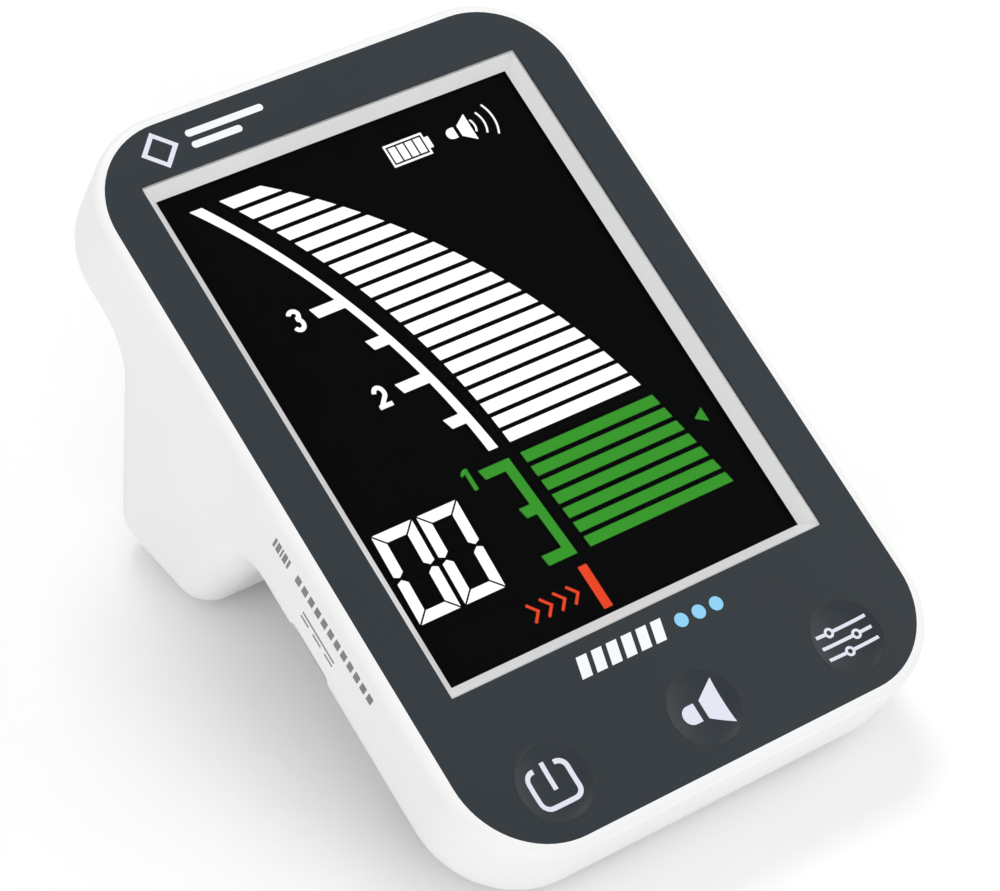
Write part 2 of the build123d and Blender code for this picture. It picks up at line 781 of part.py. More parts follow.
with BuildPart() as probe_socket:
    with BuildSketch(right_side):
        Circle(probe_flange_diameter / 2)
    extrude(amount=-probe_flange_thickness)
    with BuildSketch(right_side):
        Circle(probe_barrel_diameter / 2)
    extrude(amount=-probe_barrel_length)
    with BuildSketch(right_side):
        Circle(probe_bore / 2)
    extrude(amount=-plug_depth, mode=Mode.SUBTRACT)
    with BuildSketch(right_side):
        Circle(probe_mouth_diameter / 2)
    extrude(amount=-probe_mouth_depth, mode=Mode.SUBTRACT)
save(probe_socket.part, "probe_socket")

with BuildPart() as probe_nut:
    with BuildSketch(right_side.offset(-case_wall)):
        RegularPolygon(probe_nut_diameter / 2, 6)
        Circle(probe_barrel_diameter / 2, mode=Mode.SUBTRACT)
    extrude(amount=-probe_nut_thickness)
save(probe_nut.part, "probe_nut")


def at_panel(x, up, out):
    """Point given in the panel frame."""
    return panel.from_local_coords(Vector(x, up, out))


def lead(points, bend, diameter):
    """One insulated wire along straight runs joined by arcs."""
    with BuildPart() as wire:
        with BuildLine() as route:
            FilletPolyline(*points, radius=bend)
        with BuildSketch(Plane(origin=route.line @ 0, z_dir=route.line % 0)):
            Circle(diameter / 2)
        sweep(path=route.line)
    return wire.part


probe_up, probe_out = slope_of(probe_y, probe_z)
probe_tail = half_width - probe_barrel_length

probe_wires = [
    lead(
        [
            at_panel(probe_tail, probe_up + shift, probe_out),
            at_panel(probe_tail - lead_drop, probe_up + shift, probe_out),
            at_panel(probe_tail - lead_drop, probe_up + shift, -board_back),
        ],
        lead_bend,
        lead_diameter,
    )
    for shift in (-lead_spacing / 2, lead_spacing / 2)
]

with BuildPart() as probe_leads:
    add(probe_wires)
save(probe_leads.part, "probe_leads")

# ---- Battery ---------------------------------------------------------------------------
cell_middle = (0, middle_y + cell_y, middle_z + cell_z)
cell_plane = Plane(origin=cell_middle, x_dir=(0, 1, 0), z_dir=(1, 0, 0))
plug_foot = board_back + 2 * header_height
tab_y, tab_z = level_of(plug_up, -plug_foot - lead_drop)
tab_height = tab_z - cell_z
tab_front = cradle_front - contact_tab_reach
contact_middle = cell_length / 2 + contact_thickness / 2
contact_width = (cell_diameter / 2 + cell_play - contact_corner_gap) * sqrt(2)

with BuildPart() as battery_cradle:
    with BuildSketch(cell_plane):
        Rectangle(2 * cradle_half_height, 2 * cradle_half_height, align=Align.CENTER)
        with Locations((cell_diameter / 2 + cell_play, 0)):
            Rectangle(
                cradle_wall,
                2 * cradle_half_height,
                align=(Align.MIN, Align.CENTER),
                mode=Mode.SUBTRACT,
            )
    extrude(amount=cradle_width / 2, both=True)
    with BuildSketch(cell_plane):
        Circle(cell_diameter / 2 + cell_play)
        Rectangle(
            cell_diameter,
            cell_diameter + 2 * cell_play,
            align=(Align.MIN, Align.CENTER),
        )
    extrude(amount=contact_middle + contact_thickness / 2, both=True, mode=Mode.SUBTRACT)
    with BuildSketch(cell_plane.offset(-contact_middle), cell_plane.offset(contact_middle)):
        with Locations((-cell_diameter / 2, tab_height)):
            Rectangle(2 * (cradle_wall + cell_play), contact_tab_width + 2 * tab_play)
    extrude(amount=contact_thickness / 2, both=True, mode=Mode.SUBTRACT)
save(battery_cradle.part, "battery_cradle")

with BuildPart() as battery_cell:
    with BuildSketch(cell_plane):
        Circle(cell_diameter / 2)
    extrude(amount=cell_length / 2, both=True)
    fillet(battery_cell.edges().filter_by(GeomType.CIRCLE), cell_edge_radius)
save(battery_cell.part, "battery_cell")

with BuildPart() as battery_contacts:
    with BuildSketch(cell_plane.offset(-contact_middle), cell_plane.offset(contact_middle)):
        Rectangle(contact_width, contact_width)
        with Locations((tab_front - cell_y, tab_height)):
            Rectangle(cell_y - tab_front, contact_tab_width, align=(Align.MIN, Align.CENTER))
    extrude(amount=contact_thickness / 2, both=True)
save(battery_contacts.part, "battery_contacts")

with BuildPart(at_depth(board_back)) as battery_header:
    with Locations((0, plug_up, 0)):
        Box(header_width, header_length, header_height, align=DOWN)
save(battery_header.part, "battery_header")

with BuildPart(at_depth(board_back + header_height)) as battery_plug:
    with Locations((0, plug_up, 0)):
        Box(
            header_width - 2 * plug_inset,
            header_length - 2 * plug_inset,
            header_height,
            align=DOWN,
        )
save(battery_plug.part, "battery_plug")

battery_wires = [
    lead(
        [
            at_panel(sign * lead_spacing / 2, plug_up, -plug_foot),
            at_panel(sign * lead_spacing / 2, plug_up, -plug_foot - lead_drop),
            Vector(sign * contact_middle, middle_y + tab_y, middle_z + tab_z),
            Vector(sign * contact_middle, middle_y + tab_front, middle_z + tab_z),
        ],
        lead_bend,
        lead_diameter,
    )
    for sign in (-1, 1)
]

with BuildPart() as battery_leads:
    add(battery_wires)
save(battery_leads.part, "battery_leads")

# ---- Speaker ---------------------------------------------------------------------------
speaker_plane = Plane(
    origin=at_panel(0, speaker_up, -floor_depth), x_dir=panel.x_dir, z_dir=panel.z_dir
)

with BuildPart(speaker_plane) as speaker_basket:
    Cylinder(speaker_diameter / 2, speaker_height, align=UP)
    Cylinder(
        speaker_diameter / 2 - speaker_rim,
        speaker_height - magnet_height,
        align=UP,
        mode=Mode.SUBTRACT,
    )
save(speaker_basket.part, "speaker_basket")

with BuildPart(speaker_plane.offset(speaker_height - magnet_height)) as speaker_magnet:
    Cylinder(magnet_diameter / 2, cone_depth, align=DOWN)
save(speaker_magnet.part, "speaker_magnet")

with BuildPart(speaker_plane.offset(cone_thickness)) as speaker_cone:
    Cylinder(speaker_diameter / 2 - speaker_rim, cone_thickness, align=UP)
save(speaker_cone.part, "speaker_cone")

lead_level = -board_back - speaker_lead_below
speaker_wires = [
    lead(
        [
            at_panel(shift, speaker_up - speaker_diameter / 2, lead_level),
            at_panel(shift, board_top - speaker_lead_in, lead_level),
            at_panel(shift, board_top - speaker_lead_in, -board_back),
        ],
        speaker_lead_bend,
        speaker_lead_diameter,
    )
    for shift in (-lead_spacing / 2, lead_spacing / 2)
]

with BuildPart() as speaker_leads:
    add(speaker_wires)
save(speaker_leads.part, "speaker_leads")
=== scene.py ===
"""Looks of the apex locator: a tilted white desk unit with a dark overlay, a segment display
and three dished keys.

Lengths are in metres in the row frame. Shapes on the front panel are given in millimetres in the
panel frame: x to the right, y up the slope, z out of the panel, with the origin in the middle of
the overlay's face.
"""

import json
import math

import bmesh
import bpy
from mathutils import Matrix, Vector


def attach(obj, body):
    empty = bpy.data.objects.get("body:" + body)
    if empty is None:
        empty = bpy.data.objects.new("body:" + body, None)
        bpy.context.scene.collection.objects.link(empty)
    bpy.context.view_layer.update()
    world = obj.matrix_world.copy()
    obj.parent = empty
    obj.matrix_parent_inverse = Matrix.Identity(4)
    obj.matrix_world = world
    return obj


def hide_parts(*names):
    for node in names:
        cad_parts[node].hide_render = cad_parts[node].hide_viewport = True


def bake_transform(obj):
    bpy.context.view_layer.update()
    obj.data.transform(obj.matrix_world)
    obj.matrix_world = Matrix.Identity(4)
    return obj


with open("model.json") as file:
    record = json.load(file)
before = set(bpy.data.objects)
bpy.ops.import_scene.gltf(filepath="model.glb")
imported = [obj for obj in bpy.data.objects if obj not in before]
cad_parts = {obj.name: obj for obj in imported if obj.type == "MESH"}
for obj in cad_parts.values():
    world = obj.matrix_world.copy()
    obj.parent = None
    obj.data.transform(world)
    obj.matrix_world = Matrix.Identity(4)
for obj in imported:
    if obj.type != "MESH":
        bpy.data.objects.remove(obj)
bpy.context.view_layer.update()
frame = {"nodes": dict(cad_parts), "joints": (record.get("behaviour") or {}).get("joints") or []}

MM = 0.001
WHITE_PAINT = (0.86, 0.88, 0.90)
PALE_PAINT = (0.72, 0.74, 0.84)
BLUE_PAINT = (0.25, 0.60, 0.85)
GREY_PAINT = (0.22, 0.22, 0.21)

# ---- Panel frame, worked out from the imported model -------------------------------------
key_press = next(joint for joint in frame["joints"] if joint["name"] == "power_key_press")
OUT = -Vector(key_press["axis"]).normalized()
ACROSS = Vector((1, 0, 0))
UPWARD = OUT.cross(ACROSS)


def extent(node, direction):
    """Lowest and highest place of a CAD node along a direction, in metres from the row's origin."""
    places = [vertex.co.dot(direction) for vertex in frame["nodes"][node].data.vertices]
    return min(places), max(places)


def middle(node, direction):
    """Middle of a CAD node along a direction."""
    return sum(extent(node, direction)) / 2


ORIGIN = (
    ACROSS * middle("overlay_film", ACROSS)
    + UPWARD * middle("overlay_film", UPWARD)
    + OUT * extent("overlay_film", OUT)[1]
)


def on_panel(x, y, z=0.0):
    """Point of the panel frame, given in millimetres, in the row frame."""
    return ORIGIN + (ACROSS * x + UPWARD * y + OUT * z) * MM


def panel_place(node):
    """Middle of a CAD node in the panel frame, in millimetres."""
    return tuple(
        (middle(node, direction) - ORIGIN.dot(direction)) / MM for direction in (ACROSS, UPWARD)
    )


def panel_top(node):
    """Highest level of a CAD node in the panel frame, in millimetres."""
    return (extent(node, OUT)[1] - ORIGIN.dot(OUT)) / MM


# ---- Materials -------------------------------------------------------------------------
NOISE_LOW = 0.3
NOISE_HIGH = 0.7
TONE_SIZE = 0.02               # metres across a patch of lighter or darker tone
GLOSS_SPREAD = 0.04            # roughness more or less than its mean


def new_material(name):
    """Material with its node tree's nodes, links, shader and a texture coordinate in metres."""
    material = bpy.data.materials.new(name)
    material.use_nodes = True
    nodes, links = material.node_tree.nodes, material.node_tree.links
    shader = nodes["Principled BSDF"]
    place = nodes.new("ShaderNodeTexCoord").outputs["Object"]
    return material, nodes, links, shader, place


def noise(nodes, links, place, size, detail=2.0):
    """Noise of a feature size in metres."""
    texture = nodes.new("ShaderNodeTexNoise")
    texture.inputs["Scale"].default_value = 1.0 / size
    texture.inputs["Detail"].default_value = detail
    links.new(place, texture.inputs["Vector"])
    return texture.outputs["Fac"]


def spread(nodes, links, value, low, high):
    """Noise spread from low to high, over the part of its range where most of it lies."""
    ramp = nodes.new("ShaderNodeMapRange")
    ramp.inputs["From Min"].default_value = NOISE_LOW
    ramp.inputs["From Max"].default_value = NOISE_HIGH
    ramp.inputs["To Min"].default_value = low
    ramp.inputs["To Max"].default_value = high
    links.new(value, ramp.inputs["Value"])
    return ramp.outputs["Result"]


def tint(nodes, links, value, dark, light):
    """Colour from dark to light by a value."""
    mix = nodes.new("ShaderNodeMix")
    mix.data_type = "RGBA"
    links.new(value, mix.inputs["Factor"])
    mix.inputs["A"].default_value = (*dark, 1)
    mix.inputs["B"].default_value = (*light, 1)
    return mix.outputs["Result"]


def relief(nodes, links, shader, height, depth):
    """Bump of a depth in metres."""
    bump = nodes.new("ShaderNodeBump")
    bump.inputs["Distance"].default_value = depth
    bump.inputs["Strength"].default_value = 1.0
    links.new(height, bump.inputs["Height"])
    links.new(bump.outputs["Normal"], shader.inputs["Normal"])


def scaled(colour, factor):
    """Lighter or darker colour."""
    return tuple(min(1.0, channel * factor) for channel in colour)


def surface(
    name, colour, roughness, grain=0.0005, grain_depth=0.000004, shade=0.04, specular=0.5, metallic=0.0
):
    """Moulded, painted or plated surface: fine grain, slow changes of tone, uneven gloss."""
    material, nodes, links, shader, place = new_material(name)
    tone = spread(nodes, links, noise(nodes, links, place, TONE_SIZE), 0.0, 1.0)
    links.new(
        tint(nodes, links, tone, scaled(colour, 1 - shade), scaled(colour, 1 + shade)),
        shader.inputs["Base Color"],
    )
    fine = noise(nodes, links, place, grain, 3.0)
    gloss = spread(nodes, links, fine, roughness - GLOSS_SPREAD, roughness + GLOSS_SPREAD)
    links.new(gloss, shader.inputs["Roughness"])
    relief(nodes, links, shader, fine, grain_depth)
    shader.inputs["Specular IOR Level"].default_value = specular
    shader.inputs["Metallic"].default_value = metallic
    return material


def lit_surface(name, colour, glow):
    """Display segment: an even colour that also gives off a little light of its own."""
    material = surface(name, colour, 0.5, grain=0.0002, grain_depth=0.0000005, shade=0.015, specular=0.05)
    shader = material.node_tree.nodes["Principled BSDF"]
    shader.inputs["Emission Color"].default_value = (*colour, 1)
    shader.inputs["Emission Strength"].default_value = glow
    return material


def clear_surface(name, opacity):
    """Clear film that lets nearly all light through."""
    material = surface(name, (0.004, 0.004, 0.005), 0.12, grain=0.002, grain_depth=0.0000005, specular=0.3)
    material.node_tree.nodes["Principled BSDF"].inputs["Alpha"].default_value = opacity
    return material


KEYS = ("power", "volume", "set")

housing_white = surface("housing_white", (0.85, 0.85, 0.85), 0.46, 0.00035, 0.0000022, 0.012, 0.35)
overlay_dark = surface("overlay_dark", (0.0105, 0.0180, 0.0245), 0.40, 0.00016, 0.0000022, 0.05, 0.40)
window_clear = clear_surface("window_clear", 0.03)
glass_black = surface("glass_black", (0.0012, 0.0012, 0.0014), 0.3, 0.002, 0.0000003, 0.1, 0.02)
segment_white = lit_surface("segment_white", (0.88, 0.89, 0.90), 0.30)
segment_green = lit_surface("segment_green", (0.036, 0.285, 0.022), 0.14)
segment_red = lit_surface("segment_red", (0.72, 0.055, 0.016), 0.20)
print_white = surface("print_white", WHITE_PAINT, 0.55, 0.0002, 0.000001, 0.02, 0.3)
print_pale = surface("print_pale", PALE_PAINT, 0.55, 0.0002, 0.000001, 0.02, 0.3)
print_blue = surface("print_blue", BLUE_PAINT, 0.55, 0.0002, 0.000001, 0.02, 0.3)
print_grey = surface("print_grey", GREY_PAINT, 0.7, 0.0003, 0.000001, 0.15, 0.2)
foam_black = surface("foam_black", (0.02, 0.02, 0.02), 0.9, 0.0006, 0.00006, 0.2, 0.2)
plastic_black = surface("plastic_black", (0.022, 0.022, 0.024), 0.5, 0.0004, 0.000004, 0.1)
plastic_ivory = surface("plastic_ivory", (0.72, 0.68, 0.57), 0.5, 0.0004, 0.000004, 0.04)
light_guide = surface("light_guide", (0.82, 0.84, 0.85), 0.25, 0.001, 0.000002, 0.02)
film_amber = surface("film_amber", (0.50, 0.22, 0.03), 0.3, 0.0008, 0.000004, 0.08)
rubber_black = surface("rubber_black", (0.035, 0.035, 0.037), 0.82, 0.0005, 0.00002, 0.15, 0.3)
board_green = surface("board_green", (0.015, 0.15, 0.055), 0.32, 0.0015, 0.00001, 0.18)
steel_plated = surface("steel_plated", (0.62, 0.62, 0.64), 0.3, 0.0003, 0.000004, 0.06, metallic=1.0)
tin_plated = surface("tin_plated", (0.70, 0.70, 0.71), 0.26, 0.0006, 0.000003, 0.05, metallic=1.0)
nickel_plated = surface("nickel_plated", (0.73, 0.69, 0.60), 0.24, 0.0006, 0.000003, 0.05, metallic=1.0)
lead_red = surface("lead_red", (0.42, 0.018, 0.018), 0.42, 0.0006, 0.000006, 0.08)
sleeve_blue = surface("sleeve_blue", (0.02, 0.13, 0.38), 0.3, 0.003, 0.00002, 0.08)
cone_paper = surface("cone_paper", (0.045, 0.045, 0.045), 0.9, 0.0007, 0.00004, 0.25, 0.2)

NODE_MATERIALS = {
    housing_white: ["front_shell", "rear_shell", "battery_door"],
    overlay_dark: ["overlay_film"] + [f"{key}_key_cap" for key in KEYS],
    window_clear: ["display_window"],
    foam_black: ["display_gasket"],
    glass_black: ["lcd_glass"],
    light_guide: ["backlight"],
    plastic_black: ["display_tray", "processor_chip", "measuring_chip", "battery_cradle", "charging_tongue"]
    + [f"{key}_switch" for key in KEYS],
    plastic_ivory: ["flex_connector", "battery_header", "battery_plug"]
    + [f"{key}_key_plunger" for key in KEYS]
    + [f"{key}_switch_stem" for key in KEYS],
    film_amber: ["display_flex"],
    rubber_black: ["left_rear_pad", "right_rear_pad", "left_front_strip", "right_front_strip"],
    board_green: ["main_board"],
    steel_plated: ["case_screws", "door_screws", "board_screws", "speaker_magnet"],
    tin_plated: ["charging_socket", "battery_contacts", "probe_socket"],
    nickel_plated: ["probe_nut"],
    lead_red: ["probe_leads", "battery_leads", "speaker_leads"],
    sleeve_blue: ["battery_cell"],
    cone_paper: ["speaker_cone", "speaker_basket"],
}
for node_material, names in NODE_MATERIALS.items():
    for name in names:
        mesh = frame["nodes"][name].data
        mesh.materials.clear()
        mesh.materials.append(node_material)


# ---- Outlines, in millimetres ----------------------------------------------------------
def arc(centre, radius, start, end, steps=12):
    """Points along an arc, from one angle in degrees to another."""
    angles = [math.radians(start + (end - start) * i / steps) for i in range(steps + 1)]
    return [(centre[0] + radius * math.cos(a), centre[1] + radius * math.sin(a)) for a in angles]


def bowl(centre, reach, rise, degrees):
    """Points on an upright ellipse at these angles."""
    angles = [math.radians(angle) for angle in degrees]
    return [(centre[0] + reach * math.cos(a), centre[1] + rise * math.sin(a)) for a in angles]


def stroke(points, width):
    """Outline of a line of a width along an open path, with mitred corners."""
    left_side, right_side = [], []
    for i, point in enumerate(points):
        before = Vector(points[max(i - 1, 0)])
        after = Vector(points[min(i + 1, len(points) - 1)])
        here = Vector(point)
        runs = [run.normalized() for run in (here - before, after - here) if run.length > 0]
        along = (runs[0] + runs[-1]).normalized()
        reach = width / 2 / max(along.dot(runs[0]), 0.3)
        side = Vector((-along.y, along.x)) * reach
        left_side.append(tuple(here + side))
        right_side.append(tuple(here - side))
    return left_side + right_side[::-1]


def box_outline(left, bottom, right, top, lean=0.0):
    """Rectangle whose top is moved sideways by a lean."""
    return [(left, bottom), (right, bottom), (right + lean, top), (left + lean, top)]


def pill(left, bottom, right, top):
    """Bar with round ends."""
    radius = (top - bottom) / 2
    level = (top + bottom) / 2
    right_end = arc((right - radius, level), radius, -90, 90)
    left_end = arc((left + radius, level), radius, 90, 270)
    return right_end + left_end


def polygon(centre, radius, corners):
    """Regular outline with its first corner to the right: a diamond, or with many corners a disc."""
    return arc(centre, radius, 0, 360 * (corners - 1) / corners, corners - 1)


def ring(centre, radius, width, corners=28):
    """Pair of outlines, outer and inner, with a band of a width between them."""
    return polygon(centre, radius, corners), polygon(centre, radius - width, corners)


# ---- Flat pieces -----------------------------------------------------------------------
def link_mesh(name, bm, material):
    """Finish a mesh in row coordinates and link it as an object at the origin."""
    bmesh.ops.recalc_face_normals(bm, faces=bm.faces)
    mesh = bpy.data.meshes.new(name)
    bm.to_mesh(mesh)
    bm.free()
    mesh.materials.append(material)
    piece = bpy.data.objects.new(name, mesh)
    bpy.context.scene.collection.objects.link(piece)
    return piece


def flat_patch(outline, level, longest=None):
    """Flat mesh within an outline, or between the two outlines of a pair, with no edge over a length."""
    patch = bmesh.new()
    if len(outline) > 2:
        patch.faces.new([patch.verts.new((x, y, level)) for x, y in outline])
    else:
        outer, inner = ([patch.verts.new((x, y, level)) for x, y in loop] for loop in outline)
        for i in range(len(outer)):
            patch.faces.new((outer[i - 1], outer[i], inner[i], inner[i - 1]))
    long_edges = list(patch.edges) if longest else []
    while long_edges:
        bmesh.ops.triangulate(patch, faces=patch.faces)
        long_edges = [edge for edge in patch.edges if edge.calc_length() > longest]
        bmesh.ops.subdivide_edges(patch, edges=long_edges, cuts=1)
    return patch


def inlay_mesh(outlines, bottom, top, longest=None):
    """Closed flat solids with these outlines, between two levels, as x, y, z in millimetres."""
    bm = bmesh.new()
    for outline in outlines:
        patch = flat_patch(outline, bottom, longest)
        copies = {vert: bm.verts.new(vert.co) for vert in patch.verts}
        faces = [bm.faces.new([copies[vert] for vert in face.verts]) for face in patch.faces]
        patch.free()
        raised = bmesh.ops.extrude_face_region(bm, geom=faces, use_keep_orig=True)["geom"]
        for vert in raised:
            if isinstance(vert, bmesh.types.BMVert):
                vert.co.z += top - bottom
    return bm


def inlay(name, outlines, material, bottom, top, offset=(0, 0), place=on_panel):
    """Thin printed or glass-borne shapes on a flat face, as one piece on the housing."""
    bm = inlay_mesh(outlines, bottom, top)
    for vert in bm.verts:
        vert.co = place(vert.co.x + offset[0], vert.co.y + offset[1], vert.co.z)
    piece = link_mesh(name, bm, material)
    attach(piece, "housing")
    return piece


# ---- Display graphics: x and y from the middle of the window ---------------------------
DISPLAY = panel_place("display_window")
GLASS = panel_top("lcd_glass")
SEGMENT_RISE = 0.03
SINK = 0.01                    # into the surface below, so that no gap shows
FAN_TOP = 40.3
BAR_PITCH = 2.70
BAR_HEIGHT = 1.97
WHITE_BARS = 20
GREEN_TOP = -15.13
GREEN_PITCH = 2.66
GREEN_HEIGHT = 1.84
GREEN_BARS = 7
SCALE_FOOT = -12.95


def on_circle(x, y, radius):
    """Right-hand side of a circle as x by y."""
    return lambda level: x + math.sqrt(radius**2 - (level - y) ** 2)


def on_line(top, bottom):
    """Straight edge between two points as x by y."""
    slope = (top[0] - bottom[0]) / (top[1] - bottom[1])
    return lambda level: bottom[0] + (level - bottom[1]) * slope


fan_left = on_circle(-103.75, -21.74, 101.78)
fan_right = on_circle(-68.76, -38.22, 94.83)
scale_left = on_circle(-109.40, -24.60, 103.79)
scale_right = on_circle(-119.68, -28.74, 116.21)
green_left = on_line((-1.84, -15.13), (-0.10, -32.93))
green_right = on_line((23.40, -15.13), (27.38, -32.93))
bracket_left = on_line((-5.67, -16.88), (-4.30, -32.98))
bracket_right = on_line((-4.02, -15.13), (-2.63, -32.98))


def bars(top, pitch, height, count, left, right):
    """Level bars one below another, cut off at two slanting or curved edges."""
    outlines = []
    for i in range(count):
        high = top - i * pitch
        low = high - height
        outlines.append([(left(low), low), (right(low), low), (right(high), high), (left(high), high)])
    return outlines


def segments(name, outlines, material):
    """Display segments just above the glass."""
    return inlay(name, outlines, material, GLASS - SINK, GLASS + SEGMENT_RISE, DISPLAY)


segments(
    "white_bars", bars(FAN_TOP, BAR_PITCH, BAR_HEIGHT, WHITE_BARS, fan_left, fan_right), segment_white
)
segments(
    "green_bars",
    bars(GREEN_TOP, GREEN_PITCH, GREEN_HEIGHT, GREEN_BARS, green_left, green_right),
    segment_green,
)

SCALE_STEPS = 24
scale_levels = [FAN_TOP + (SCALE_FOOT - FAN_TOP) * i / SCALE_STEPS for i in range(SCALE_STEPS + 1)]
scale_outline = [(scale_left(level), level) for level in scale_levels]
scale_outline += [(scale_right(level), level) for level in reversed(scale_levels)]

TICK_HEIGHT = 1.84
TICK_LEAN = -0.7
TICK_ENDS = {18.66: -19.0, 10.61: -13.7, 2.47: -13.3, -5.67: -9.5}   # top level: left end
tick_outlines = [
    [
        (end, top - TICK_HEIGHT),
        (scale_left(top - TICK_HEIGHT), top - TICK_HEIGHT),
        (scale_left(top), top),
        (end + TICK_LEAN, top),
    ]
    for top, end in TICK_ENDS.items()
]
segments("white_scale", [scale_outline], segment_white)
segments("white_ticks", tick_outlines, segment_white)

BRACKET_ARMS = (               # top, foot, and the left end at each
    (-15.13, -16.88, -9.70, -9.30),
    (-23.09, -24.93, -7.20, -6.80),
    (-31.15, -32.98, -8.20, -7.90),
)
bracket_top, bracket_foot = BRACKET_ARMS[0][0], BRACKET_ARMS[-1][1]
arm_points = []
for high, low, high_end, low_end in reversed(BRACKET_ARMS):
    arm_points += [(bracket_left(low), low), (low_end, low), (high_end, high), (bracket_left(high), high)]
bracket_outline = [(bracket_right(level), level) for level in (bracket_top, bracket_foot)]
bracket_outline += arm_points[1:-1]
segments("green_bracket", [bracket_outline], segment_green)
segments("green_pointer", [[(27.56, -21.40), (29.60, -22.70), (29.60, -20.10)]], segment_green)
segments("red_bar", [box_outline(-3.80, -42.50, -2.20, -35.00, lean=-0.15)], segment_red)

CHEVRONS = 4
CHEVRON_START = -14.85         # left end of the first
CHEVRON_PITCH = 2.45
CHEVRON_LENGTH = 1.35
CHEVRON_LEVELS = (-36.95, -38.50, -40.05)              # upper end, tip, lower end
CHEVRON_STROKE = 0.48
chevron_outlines = []
for i in range(CHEVRONS):
    start = CHEVRON_START + CHEVRON_PITCH * i
    places = (start, start + CHEVRON_LENGTH, start)
    chevron_outlines.append(stroke(list(zip(places, CHEVRON_LEVELS)), CHEVRON_STROKE))
segments("red_chevrons", chevron_outlines, segment_red)


# ---- Numerals of the scale -------------------------------------------------------------
def numeral_three(x, y, width, height, pen):
    """Figure three from two open bowls, its lower left corner at x, y."""
    upper, lower = 0.23 * height - pen / 4, 0.27 * height - pen / 4
    reach = (width - pen) / 2
    middle_x = x + width / 2
    top_bowl = bowl((middle_x, y + height - pen / 2 - upper), reach, upper, range(160, -91, -10))
    low_bowl = bowl((middle_x, y + pen / 2 + lower), reach, lower, range(90, -161, -10))
    return [stroke(top_bowl, pen), stroke(low_bowl, pen)]


def numeral_two(x, y, width, height, pen):
    """Figure two from a bowl, a slanting stem and a foot."""
    drop = 0.27 * height
    centre = (x + width / 2, y + height - pen / 2 - drop)
    path = bowl(centre, (width - pen) / 2, drop, range(165, -31, -15))
    path.append((x + pen * 0.55, y + pen / 2))
    return [stroke(path, pen), box_outline(x, y, x + width, y + pen)]


def numeral_one(x, y, width, height, pen):
    """Figure one from a stem and a short flag."""
    right = x + width
    stem = [(right - pen, y), (right, y), (right, y + height), (right - pen, y + height)]
    flag = [(x, y + height * 0.84), (x, y + height * 0.70), (right - pen, y + height * 0.80)]
    return [stem + flag]


NUMERAL_PEN = 0.74
segments("numeral_3", numeral_three(-23.68, 15.80, 2.35, 4.0, NUMERAL_PEN), segment_white)
segments("numeral_2", numeral_two(-18.20, -0.40, 2.35, 3.9, NUMERAL_PEN), segment_white)
segments("numeral_1", numeral_one(-12.60, -17.75, 1.45, 3.75, NUMERAL_PEN), segment_green)

# ---- Seven-segment zeros ---------------------------------------------------------------
DIGIT_WIDTH = 7.3
DIGIT_HEIGHT = 15.3
DIGIT_PEN = 1.80
DIGIT_GAP = 0.20
DIGIT_LEAN = 0.55


def zero_digit(x, y):
    """The six outer segments of a seven-segment digit, leaning a little to the right."""
    width, height, pen, gap = DIGIT_WIDTH, DIGIT_HEIGHT, DIGIT_PEN, DIGIT_GAP
    half = height / 2
    top_bar = [
        (gap, height),
        (width - gap, height),
        (width - pen - gap, height - pen),
        (pen + gap, height - pen),
    ]
    upper_left = [
        (0, height - gap),
        (pen, height - pen - gap),
        (pen, half + pen / 2),
        (pen / 2, half + gap),
        (0, half + pen / 3),
    ]
    foot_bar, lower_left = ([(px, height - py) for px, py in bar] for bar in (top_bar, upper_left))
    right_bars = [[(width - px, py) for px, py in bar] for bar in (upper_left, lower_left)]
    digit = [top_bar, foot_bar, upper_left, lower_left, *right_bars]
    return [[(x + px + DIGIT_LEAN * py / height, y + py) for px, py in bar] for bar in digit]


segments("digit_left", zero_digit(-31.35, -33.07), segment_white)
segments("digit_right", zero_digit(-23.25, -33.07), segment_white)

# ---- Battery and sound icons on the display --------------------------------------------
BATTERY = (6.25, 35.05, 13.55, 39.10)                 # left, bottom, right, top
BATTERY_LINE = 0.36
BATTERY_CELLS = 4
CELL_GAP = 0.30
TERMINAL_INSET = 1.0
TERMINAL_LENGTH = 0.75


def battery_outlines(left, bottom, right, top):
    """Battery sign: a frame with its terminal on the right, and full cells inside."""
    line = BATTERY_LINE
    inside = box_outline(left + line, bottom + line, right - line, top - line)
    terminal = box_outline(right, bottom + TERMINAL_INSET, right + TERMINAL_LENGTH, top - TERMINAL_INSET)
    outlines = [(box_outline(left, bottom, right, top), inside), terminal]
    cell_room = (right - left - 2 * line - CELL_GAP) / BATTERY_CELLS
    low, high = bottom + line + CELL_GAP, top - line - CELL_GAP
    for i in range(BATTERY_CELLS):
        start = left + line + CELL_GAP + i * cell_room
        outlines.append(box_outline(start, low, start + cell_room - CELL_GAP, high))
    return outlines


segments("battery_icon", battery_outlines(*BATTERY), segment_white)


def sound_outlines(x, y, size):
    """Loudspeaker sign of a height: a half disc, and a cone that opens to the right."""
    half = 0.20 * size
    back = x + 0.36 * size
    drum = arc((x + half, y), half, 90, 270) + [(back, y - half), (back, y + half)]
    near, far = x + 0.50 * size, x + 0.95 * size
    cone = [(near, y - half), (far, y - size / 2), (far, y + size / 2), (near, y + half)]
    return [drum, cone]


SOUND_MIDDLE = (20.6, 37.0)
SOUND_WAVES = ((2.1, 32), (3.9, 30), (5.8, 29))       # radius and half angle
WAVE_LINE = 0.34
wave_outlines = [
    stroke(arc(SOUND_MIDDLE, radius, -angle, angle, 14), WAVE_LINE) for radius, angle in SOUND_WAVES
]
segments("sound_icon", sound_outlines(17.30, 37.0, 4.9) + wave_outlines, segment_white)

# ---- Plain marks printed on the overlay ------------------------------------------------
INK = 0.012


